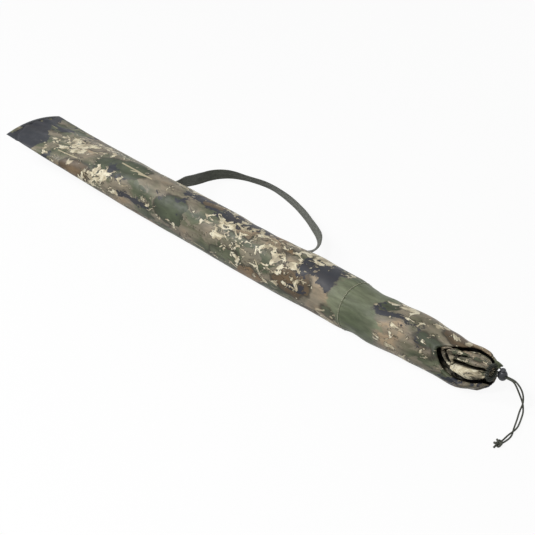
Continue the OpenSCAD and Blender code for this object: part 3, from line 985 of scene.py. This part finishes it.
def cap_edge(a, inset=9.5, end=300, fall=40):
    """Inset of the cap's edge: close behind the upper lip, further in behind the lower one."""
    notch = sum(depth * stretch(a, *place) for place, depth in CAP_NOTCHES)
    side = sum(depth * ease((a - start) / run) for start, run, depth in CAP_STEPS)
    return inset + notch + side * ease((end - a) / fall)


def lip_inset(inset, a, fuller=3.5, turn=228, half=50):
    """Inset of a place in the lips' section, as the cap's edge leaves room."""
    swell = fuller * hill(a, turn, half) * math.sin(math.pi * clamp01(inset / CAP_EDGE))
    if inset > LIP_T:
        inset = LIP_T + (inset - LIP_T) * (cap_edge(a) - LIP_T) / (CAP_EDGE - LIP_T)
    return inset + swell


def cap_point(a, g, brow_ahead=4, brow_out=1):
    """A place on the cap: from the hollow to a brow level with the lips, then to the hole."""
    edge_x = lip_at(a)
    ahead, inset = LIPS[-1]
    fold = collar_point(edge_x + ahead, a, lip_inset(inset, a))
    brow = collar_point(edge_x + brow_ahead, a, cap_edge(a) - brow_out)
    hole = gather_point(CAP_END_X, CAP_END_R, a)
    return fold * (1 - g) ** 2 + brow * 2 * g * (1 - g) + hole * g * g


def corner_rings(a, g, height=2.5, depth=6, turn=148, half=46):
    """Rings of cloth behind the lips' corner, closer together towards the upper lip."""
    near = mix(0.3, 1, clamp01((a - 108) / 30))
    high = hill(g, 0.17 * near, 0.11 * near) + hill(g, 0.43 * near, 0.08)
    low = hill(g, 0.33 * near, 0.07)
    return (height * high - depth * low) * hill(a, turn, half)


def cap_pleats(a, g, dip=5, dip_turn=70, dip_half=22, even=3, own=(50, 225, 25)):
    """Pleats of the cap: its own on the upper side, a dip, even ones on the far side."""
    pleats = sum(height * bell(a, turn - slant * (g - level), width) * stretch(g, *place)
                 for height, turn, slant, level, width, place in CAP_PLEATS)
    pleats -= dip * hill(g, 0.33, 0.13) * hill(a, dip_turn, dip_half)
    return pleats + even * sin_deg(EVEN_PLEATS * a) * (1 - stretch(a, *own))


def cap_relief(a, g, ruffle=2.2, ruffles=14, uneven=0.8):
    """Folds of the cap: rings by the lips' corner, then pleats."""
    c = cos_deg(a)
    s = sin_deg(a)
    start = mix(0.1, 0.44, hill(a, 145, 45))
    grown = ease((g - start) / 0.14)
    worn = mix(1, 0.45, ease((g - 0.8) / 0.2))
    ruffle *= math.sin(math.radians(ruffles * a) + 2 * wobble(3 * g, 2 * c, 2 * s))
    ruffle *= ease((g - 0.72) / 0.28)
    loose = uneven * wobble(5 * g, 3 * c, 3 * s + 4) + ruffle
    return ease(g / 0.08) * (corner_rings(a, g) + grown * worn * cap_pleats(a, g) + loose)


def bunch_point(a, t, hole_r=2.6, fold=1.1, ahead=3, sway=1.6):
    """The bunched cloth inside the gather, in to a small hole."""
    fold *= math.sin(math.radians(EVEN_PLEATS * a) + 1.5 * sin_deg(2 * a))
    sway *= sin_deg(EVEN_PLEATS * a + 40)
    x = CAP_END_X + ahead * math.sin(math.pi * min(t, 0.85)) + sway * ease(2 * t)
    return gather_point(x, mix(CAP_END_R, hole_r, t) + fold * t, a)


def lip_crease(x, a, back=12, roll=1.2, roll_at=6, depth=2.4, width=2.4, place=(150, 210, 20)):
    """A crease behind the lips' edge, with a low roll before it."""
    behind = x - lip_at(a) + back
    return (roll * hill(behind, roll_at, roll_at) - depth * bell(behind, 0, width)) * stretch(a, *place)


def collar_relief(x, a, chest=1.2, chest_place=(460, 500, 40), chest_turn=80):
    """Slack, swells and gathers of the collar's outside."""
    chest *= stretch(x, *chest_place) * hill(a, chest_turn, chest_turn)
    drawn = ease((x - LIP_START_X) / (MOUTH_X - LIP_START_X))
    broad = slack(COLLAR_SLACK, x, a) * away_from_seam(x) + swells(COLLAR_SWELLS, x, a) + waist(x, a)
    return broad + chest + lip_crease(x, a) + seam_pucker(x, a) + drawn * slack(COLLAR_GATHERS, x, a)


def make_collar(throat_rows=22, cap_rows=64, bunch_rows=8):
    turns = turns_round(COLLAR_SIDES, PRINT_SEAM)
    rows = []
    reliefs = []

    def add(row, relief):
        rows.append(row)
        reliefs.append(relief)

    def add_outside(row, share=1):
        add(row, [share * collar_relief(p.x, a % 360) for p, a in zip(row, turns)])

    for share in shares(round((LIP_START_X - COLLAR_X) / ROW_STEP)):
        x = mix(COLLAR_X, LIP_START_X, share)
        add_outside([collar_point(x, a, 0) for a in turns])
    for share in shares(throat_rows)[1:-1]:
        places = [mix(LIP_START_X, lip_at(a) + LIPS[0][0], share) for a in turns]
        add_outside([collar_point(x, a, 0) for x, a in zip(places, turns)])
    for k, (ahead, inset) in enumerate(LIPS):
        row = [collar_point(lip_at(a) + ahead, a, lip_inset(inset, a % 360)) for a in turns]
        add_outside(row, 1 - k / len(LIPS))
    for g in shares(cap_rows)[1:]:
        add([cap_point(a % 360, g) for a in turns], [cap_relief(a % 360, g) for a in turns])
    for t in shares(bunch_rows)[1:]:
        add([bunch_point(a, t) for a in turns], [0] * len(turns))
    moved = off_floor(with_relief(rows, reliefs))
    for row in moved:
        for p in row:
            p.x = min(p.x, MOUTH_X)
    return sheet_piece("collar_cloth", moved, closed=True, datum=datum_column(COLLAR_SIDES))


collar = make_collar()
thicken(collar, CLOTH_T)
dress(collar, collar_cloth, "camo_fabric", "bag", "mouth_collar")

# Casing: the rolled hem, bunched round the cord, open in front where the strands come out
CASING_SIDES = 252
CASING_PROFILE = 20


def casing_ring(b, tucks=21, tuck_h=0.6, fullness=0.92, sag=3.4, sag_turn=275, sag_half=70, open_half=26):
    """The hem at one turn b of its section, all round the gather."""
    front = math.cos(b)
    outer = math.sin(b)
    row = []
    for a in turns_round(CASING_SIDES):
        way = math.radians(tucks / 2 * a) + 1.1 * sin_deg(3 * a) + 0.5 * front
        tuck = 2 * abs(math.sin(way)) - 1
        crumple = wobble(5 * cos_deg(a), 5 * sin_deg(a), 1.4 * front + 2 * outer)
        open_share = hill(turn_between(a, EXIT_TURN), 0, open_half)
        low = sag / 2 * hill(turn_between(a, sag_turn), 0, sag_half) * (1 - open_share)
        r = CASING_D / 2 * (fullness + (0.17 * tuck + 0.16 * crumple) * (1 - 0.6 * open_share))
        ahead = r * front * (1 - 0.8 * open_share if front > 0 else 1)
        row.append(gather_point(CASING_X + ahead, CASING_R + (r + low) * outer + tuck_h * tuck + low, a))
    return row


# Corners of the loose flap of hem: on the upper lip, on the casing, its lower and its upper corner
FLAP = [Vector(p) for p in ((604, 29, 64), (610.5, 27, 52), (612.9, 35.1, 48), (617, 35, 56.5))]


def make_flap(curl=1.6, arch=1.5, steps=12):
    rows = []
    for v in shares(steps):
        row = []
        for u in shares(steps):
            p = FLAP[0].lerp(FLAP[1], u).lerp(FLAP[3].lerp(FLAP[2], u), v)
            p.x += curl * math.sin(2.2 * math.pi * u + 0.6) * v
            p.z += arch * math.sin(math.pi * v) * (1 - u)
            row.append(p)
        rows.append(row)
    return sheet_piece("hem_flap", rows)


casing_rows = [casing_ring(2 * math.pi * share) for share in shares(CASING_PROFILE)]
casing = sheet_piece("drawcord_casing_hem", casing_rows, closed=True)
dress(casing, hem_cloth, "camo_fabric", "bag", "drawcord_casing")
flap = make_flap()
thicken(flap, CLOTH_T, 0)
dress(flap, collar_cloth, "camo_fabric", "bag")

# Binding of the closed end
BINDING_OUT = 0.5
BINDING_W = 9
# Section of the binding: place along the bag from the end, height over the cloth
BINDING_SECTION = [
    (-0.9, -0.9), (-0.8, -0.4), (-0.5, 0.3), (1, BINDING_OUT), (4, BINDING_OUT + 0.15),
    (BINDING_W - 0.6, BINDING_OUT), (BINDING_W, 0.15),
]


def end_ring_point(x, a, out=BINDING_OUT + 0.25):
    s = sin_deg(a)
    half_w = END_W / 2 + out
    half_h = END_EDGE_T + out
    z = END_Z + half_h * s * abs(s) + END_ARCH * s * s
    return Vector((x, half_w * cos_deg(a), z))


def make_binding(wave=0.25, sides=160):
    rows = []
    for along, out in BINDING_SECTION:
        row = []
        for a in turns_round(sides, PRINT_SEAM):
            sway = wave * wobble(9 * cos_deg(a), 3 * sin_deg(a), 2)
            row.append(end_ring_point(END_X + along + sway, a, out))
        rows.append(row)
    return sheet_piece("end_binding_fold", rows, closed=True)


binding = make_binding()
dress(binding, sleeve_cloth, "binding_tape", "bag", "end_binding")

# Seam tapes inside
TAPE_W = 10
TAPE_T = 0.6
TAPE_GAP = 0.5


def round_normal(a):
    return Vector((0, cos_deg(a), sin_deg(a)))


def near_sleeve(x, a, out=0.15):
    """A place out from the sleeve's cloth, or inside it, and as far over the floor."""
    p = sleeve_point(x, a) + round_normal(a) * (sleeve_relief(x, a % 360) + out)
    p.z = max(p.z, abs(out))
    return p


def tape_row(x, turns):
    return [near_sleeve(x, a, -CLOTH_T - TAPE_GAP) for a in turns]


def make_long_tape(short=20, columns=8, steps=120):
    half_turn = math.degrees(TAPE_W / 2 / BAG_R)
    turns = [mix(-half_turn, half_turn, share) for share in shares(columns)]
    rows = [tape_row(mix(TAPER_X, COLLAR_X - short, share), turns) for share in shares(steps)]
    return sheet_piece("long_seam_strip", rows)


def make_collar_tape(short=1, sides=180, steps=4):
    start_x = COLLAR_X - short - TAPE_W
    rows = [tape_row(start_x + TAPE_W * share, turns_round(sides)) for share in shares(steps)]
    return sheet_piece("collar_seam_strip", rows, closed=True)


for strip, strip_node in ((make_long_tape(), "long_seam_tape"), (make_collar_tape(), "collar_seam_tape")):
    thicken(strip, TAPE_T)
    dress(strip, seam_tape_cloth, "seam_tape", "bag", strip_node)

# Handle webbing in one length: rear tab, free handle, front tab. Shares along the pitch, of the
# reach, of the drop to the floor, and the turn of the webbing
HANDLE_SHAPE = [
    [0, 0, 0, 0], [0, 0.05, 0.03, 14], [0.005, 0.18, 0.26, 68], [-0.025, 0.36, 0.62, 80],
    [-0.055, 0.55, 0.93, 86], [-0.055, 0.68, 1, 84], [-0.03, 0.79, 1, 76], [0.02, 0.885, 1, 66],
    [0.11, 0.955, 1, 56], [0.25, 1, 1, 62], [0.435, 0.945, 1, 76], [0.6, 0.84, 1, 86],
    [0.72, 0.73, 0.98, 92], [0.8, 0.645, 0.93, 98], [0.875, 0.53, 0.78, 110], [0.927, 0.4, 0.64, 126],
    [0.965, 0.27, 0.4, 146], [0.995, 0.14, 0.1, 168], [1, 0.05, 0, 180], [1, 0, 0, 180],
]
TAB_LEN = 30
ROOT_BEND = 3


def tab_line(x, run_on=1.5, steps=16, bend_steps=5):
    """From the tab's lower end up the back of the bag, then out in a small bend."""
    low = ROOT_TURN - math.degrees(TAB_LEN / ROOT_R) - run_on
    high = ROOT_TURN - math.degrees(ROOT_BEND / ROOT_R)
    points = [ring_point(x, 0, BAG_MID_Z, ROOT_R, mix(low, high, share)) for share in shares(steps)]
    bend = [180 - 90 * share for share in shares(bend_steps)[1:-1]]
    return points + [ring_point(x, HINGE_Y + ROOT_BEND, HINGE_Z - ROOT_BEND, ROOT_BEND, a) for a in bend]


def make_webbing(bend_room=0.5, steps=12):
    middle = []
    turns = []
    for along, reach, drop, turn in curve_points(HANDLE_SHAPE, steps):
        out = reach * HANDLE_REACH
        if out >= ROOT_BEND + bend_room:
            x = mix(REAR_ROOT_X, FRONT_ROOT_X, along)
            rest = STRAP_W / 2 * abs(sin_deg(turn)) + STRAP_T / 2 * abs(cos_deg(turn))
            middle.append(Vector((x, HINGE_Y + out, mix(HINGE_Z, rest, drop))))
            turns.append(turn)
    rear = tab_line(REAR_ROOT_X)
    path = rear + middle + tab_line(FRONT_ROOT_X)[::-1]
    rows = []
    for i, (p, ahead) in enumerate(zip(path, tangents(path)), -len(rear)):
        across = X_AXIS
        if 0 <= i < len(middle):
            flat = ahead.cross(Z_AXIS).normalized()
            across = cos_deg(turns[i]) * flat + sin_deg(turns[i]) * flat.cross(ahead)
        rows.append(webbing_ring(p, across, ahead.cross(across).normalized()))
    rows = off_floor(rows)
    first, last = [[sum(row, Vector()) / len(row)] * len(row) for row in (rows[0], rows[-1])]
    return sheet_piece("handle_webbing", [first] + rows + [last], closed=True)


def webbing_ring(p, across, normal, ribs=5, rib_h=0.12, square=8, count=40):
    """Section of the webbing: ribs on both faces, thin rounded edges."""
    ring = []
    for side in (1, -1):
        for i in range(count):
            w = side * (1 - 2 * (i + 0.5) / count)
            edge = math.sqrt(1 - abs(w) ** square)
            rib = rib_h * math.cos(2 * math.pi * w * ribs)
            out = side * edge * (STRAP_T / 2 - rib_h + rib)
            ring.append(p + across * (w * STRAP_W / 2) + normal * out)
    return ring


webbing = make_webbing()
dress(webbing, strap_cloth, "webbing", None, "handle_strap", "handle_tab_rear", "handle_tab_front")
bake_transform(webbing)

# Thread
STITCH_SIDES = 6
# Sections of a stitch: share of its length, of its girth, and its lift in girths
STITCH = [(-0.5, 0.25, -0.3), (-0.36, 0.8, 0.2), (0, 1, 0.45), (0.36, 0.8, 0.2), (0.5, 0.25, -0.3)]
TAB_THREAD_R = ROOT_R + STRAP_T / 2 + 0.1
COLLAR_STITCH_X = COLLAR_X - 1.2
LONG_STITCH_END_X = COLLAR_X - 8
BINDING_STITCH_X = END_X + 6.5


def stitches(name, rows, material, slot, pitch=3.2, length=2.5, thick=0.55):
    """Rows of stitches along lines: low arched capsules that lie on the cloth."""
    made = []
    faces = []

    def add_stitch(middle, ahead, up):
        side = ahead.cross(up)
        base = len(made)
        for along, girth, lift in STITCH:
            for n in range(STITCH_SIDES):
                turn = 2 * math.pi * n / STITCH_SIDES
                out = (side * math.cos(turn) + up * math.sin(turn)) * girth * thick / 2
                made.append(middle + ahead * along * length + up * lift * thick + out)
        for ring in range(base, len(made) - STITCH_SIDES, STITCH_SIDES):
            for n in range(STITCH_SIDES):
                a = ring + n
                b = ring + (n + 1) % STITCH_SIDES
                faces.append((a, b, b + STITCH_SIDES, a + STITCH_SIDES))

    for points, normals in rows:
        left = sum((q - p).length for p, q in zip(points, points[1:])) - pitch
        at = pitch / 2
        for p, q, up, next_up in zip(points, points[1:], normals, normals[1:]):
            run = (q - p).length
            ahead = (q - p).normalized()
            while at <= run and left > 0:
                out = up.lerp(next_up, at / run)
                add_stitch(p.lerp(q, at / run), ahead, (out - ahead * out.dot(ahead)).normalized())
                at += pitch
                left -= pitch
            at -= run
    dress(mesh_piece(name, made, faces), material, slot, "bag")


def sewn_line(start, end, steps, point_at, normal_at=round_normal):
    """Points and normals of a line between two places, each along the bag and in turns about it."""
    places = [[mix(p, q, share) for p, q in zip(start, end)] for share in shares(steps)]
    return [point_at(x, a) for x, a in places], [normal_at(a) for x, a in places]


def on_tab(x, a):
    return ring_point(x, 0, BAG_MID_Z, TAB_THREAD_R, a)


def binding_normal(a):
    return Z_AXIS if sin_deg(a) > 0 else -Z_AXIS


def tab_cross(x, inset=3, top=2):
    """A boxed cross sewn through a tab: its outline and its two diagonals."""
    low = ROOT_TURN - math.degrees((TAB_LEN - inset) / TAB_THREAD_R)
    high = ROOT_TURN - math.degrees((inset + top) / TAB_THREAD_R)
    left = x - STRAP_W / 2 + inset
    right = x + STRAP_W / 2 - inset
    box = ((left, low), (right, low), (right, high), (left, high))
    ways = ((0, 1), (1, 2), (2, 3), (3, 0), (0, 2), (3, 1))
    return [sewn_line(box[i], box[j], 12, on_tab) for i, j in ways]


collar_rows = [sewn_line((COLLAR_STITCH_X, 0), (COLLAR_STITCH_X, 360), 120, near_sleeve)]
long_rows = [sewn_line((TAPER_X, a), (LONG_STITCH_END_X, a), 95, near_sleeve) for a in (-4, 4)]
tab_rows = tab_cross(REAR_ROOT_X) + tab_cross(FRONT_ROOT_X)
binding_rows = [
    sewn_line((BINDING_STITCH_X, start), (BINDING_STITCH_X, end), 80, end_ring_point, binding_normal)
    for start, end in ((4, 176), (184, 356))
]
stitches("collar_topstitch", collar_rows, seam_thread, "seam_tape", pitch=2.9, length=2.8, thick=1.0)
stitches("long_seam_topstitch", long_rows, dark_thread, "seam_tape")
stitches("tab_stitches", tab_rows, dark_thread, "seam_tape", pitch=2.8, length=2.2)
stitches("binding_stitches", binding_rows, dark_thread, "binding_tape", pitch=2.6, length=2.1)

# Finishes of the nodes that stay
for node_name, finish in (("cord_lock_barrel", lock_plastic), ("cord_lock_plunger", button_plastic)):
    paint(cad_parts[node_name], finish)

# Spring of the cord lock, a copy of its node on the lock's body
spring_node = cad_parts["cord_lock_spring"]
spring = new_object("cord_lock_spring_wire", spring_node.data.copy())
spring.matrix_world = spring_node.matrix_world
dress(spring, steel, "spring_steel", "cord_lock", "cord_lock_spring")
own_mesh(spring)

# Floor, world and lamps
# The floor in metres, its tone for bounced light and as seen, its own share of white, the world's light
FLOOR_SIZE = 30
FLOOR_DROP = 0.0003
FLOOR_BOUNCE = 0.5
FLOOR_SEEN = 0.95
FLOOR_GLOW = 0.93
WORLD_LIGHT = 0.03


def floor_material():
    s = Shader("floor_white")
    seen = s.backdrop_seen()
    lit = s.node("BsdfDiffuse", {"Color": s.step(seen, 0, 1, FLOOR_BOUNCE, FLOOR_SEEN)})
    glow = s.node("Emission")
    both = s.node("MixShader", {
        0: s.product(seen, FLOOR_GLOW), 1: lit.outputs["BSDF"], 2: glow.outputs["Emission"],
    })
    s.tree.nodes.remove(s.surface)
    s.feed(s.tree.nodes["Material Output"].inputs["Surface"], both.outputs["Shader"])
    return s.material


floor_mesh = bpy.data.meshes.new("floor")
half = FLOOR_SIZE / 2
corners = [(x, y, -FLOOR_DROP) for x, y in ((-half, -half), (half, -half), (half, half), (-half, half))]
floor_mesh.from_pydata(corners, [], [(0, 1, 2, 3)])
floor_mesh.materials.append(floor_material())
new_object("floor", floor_mesh)

world = bpy.data.worlds.new("studio")
bpy.context.scene.world = world
world.use_nodes = True
sky = Nodes(world.node_tree)
background = world.node_tree.nodes["Background"]
background.inputs["Color"].default_value = (1, 1, 1, 1)
sky.feed(background.inputs["Strength"], sky.step(sky.backdrop_seen(), 0, 1, WORLD_LIGHT, 1.0))


def area_lamp(name, at, target, size, power):
    data = bpy.data.lights.new(name, "AREA")
    data.shape = "SQUARE"
    data.size = size
    data.energy = power
    lamp = new_object(name, data)
    lamp.location = at
    lamp.rotation_euler = (Vector(at) - Vector(target)).to_track_quat("Z", "Y").to_euler()


area_lamp("key", (0.6, -1.75, 2.05), (0, 0, 0), 0.5, 42)
area_lamp("sheen", (-2.0, -1.25, 1.85), (0, 0, 0), 1.0, 46)
area_lamp("back", (0.2, 2.2, 0.45), (0, 0, 0.1), 0.8, 10)
area_lamp("front", (2.3, -0.4, 1.4), (0.3, 0, 0), 1.2, 4)

bpy.context.scene.view_settings.view_transform = "Standard"
